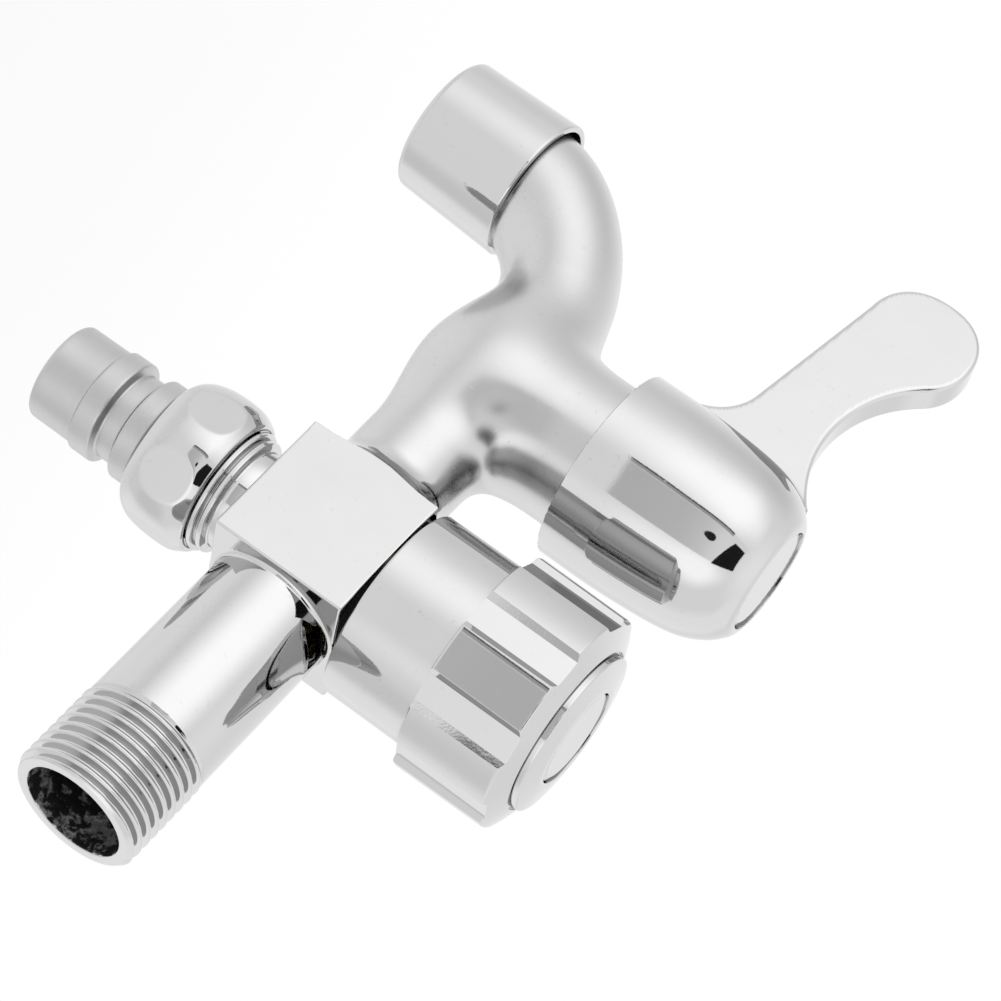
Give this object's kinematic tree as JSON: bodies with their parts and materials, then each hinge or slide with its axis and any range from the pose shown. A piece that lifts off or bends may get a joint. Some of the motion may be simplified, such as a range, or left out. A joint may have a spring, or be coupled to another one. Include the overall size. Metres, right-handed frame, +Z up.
{
  "type": "washing machine valve",
  "caption": "Chromed wall tap with a lever-worked spout and a lobed knob over a quick-connect hose outlet for a washing machine.",
  "frame": {"origin": "centre of the inlet pipe's mouth", "axes": "+Y out of the inlet, to the wall; -Y to the front, where the spout is; +Z up, along both valve spindles; +X to the right seen from behind the tap"},
  "size_m": [0.0362, 0.1553, 0.1034],
  "materials": {
    "chrome": "polished chrome plate",
    "cap_chrome": "chromed plastic cap, slightly softer than the handles",
    "satin_nozzle": "satin nickel and chrome plate, turned",
    "turned_brass": "turned, bare",
    "ceramic": "lapped ceramic, off-white",
    "black_rubber": "moulded",
    "white_plastic": "moulded",
    "steel_gauze": "woven wire",
    "zinc_steel": "zinc plated"
  },
  "bodies": {
    "root": {"body_casting": "chrome", "spout_collar": "chrome", "aerator_insert": "white_plastic", "aerator_mesh": "steel_gauze", "collar_washer": "black_rubber", "outlet_nipple": "chrome", "union_nut": "chrome", "union_washer": "black_rubber", "hose_nozzle": "satin_nozzle", "service_skirt": "chrome", "service_headwork": "turned_brass", "service_flange_ring": "black_rubber", "service_lip_seal": "black_rubber", "service_fixed_disc": "ceramic", "main_headwork": "turned_brass", "main_flange_ring": "black_rubber", "main_lip_seal": "black_rubber", "main_fixed_disc": "ceramic"},
    "knob": {"service_knob": "chrome", "service_knob_screw": "zinc_steel", "service_knob_cap": "cap_chrome", "service_spindle": "turned_brass", "service_moving_disc": "ceramic", "service_spindle_ring": "black_rubber", "service_clip": "zinc_steel"},
    "lever": {"lever_handle": "chrome", "lever_screw": "zinc_steel", "lever_cap": "cap_chrome", "main_spindle": "turned_brass", "main_moving_disc": "ceramic", "main_spindle_ring": "black_rubber", "main_clip": "zinc_steel"}
  },
  "joints": [
    {"name": "lever_turn", "type": "hinge", "parent": "root", "child": "lever", "pos_m": [0, -0.09605, 0.02], "axis": [0, 0, 1], "range_deg": [0, 90]},
    {"name": "knob_turn", "type": "hinge", "parent": "root", "child": "knob", "pos_m": [0, -0.05565, 0.02], "axis": [0, 0, 1], "range_deg": [0, 90]}
  ]
}
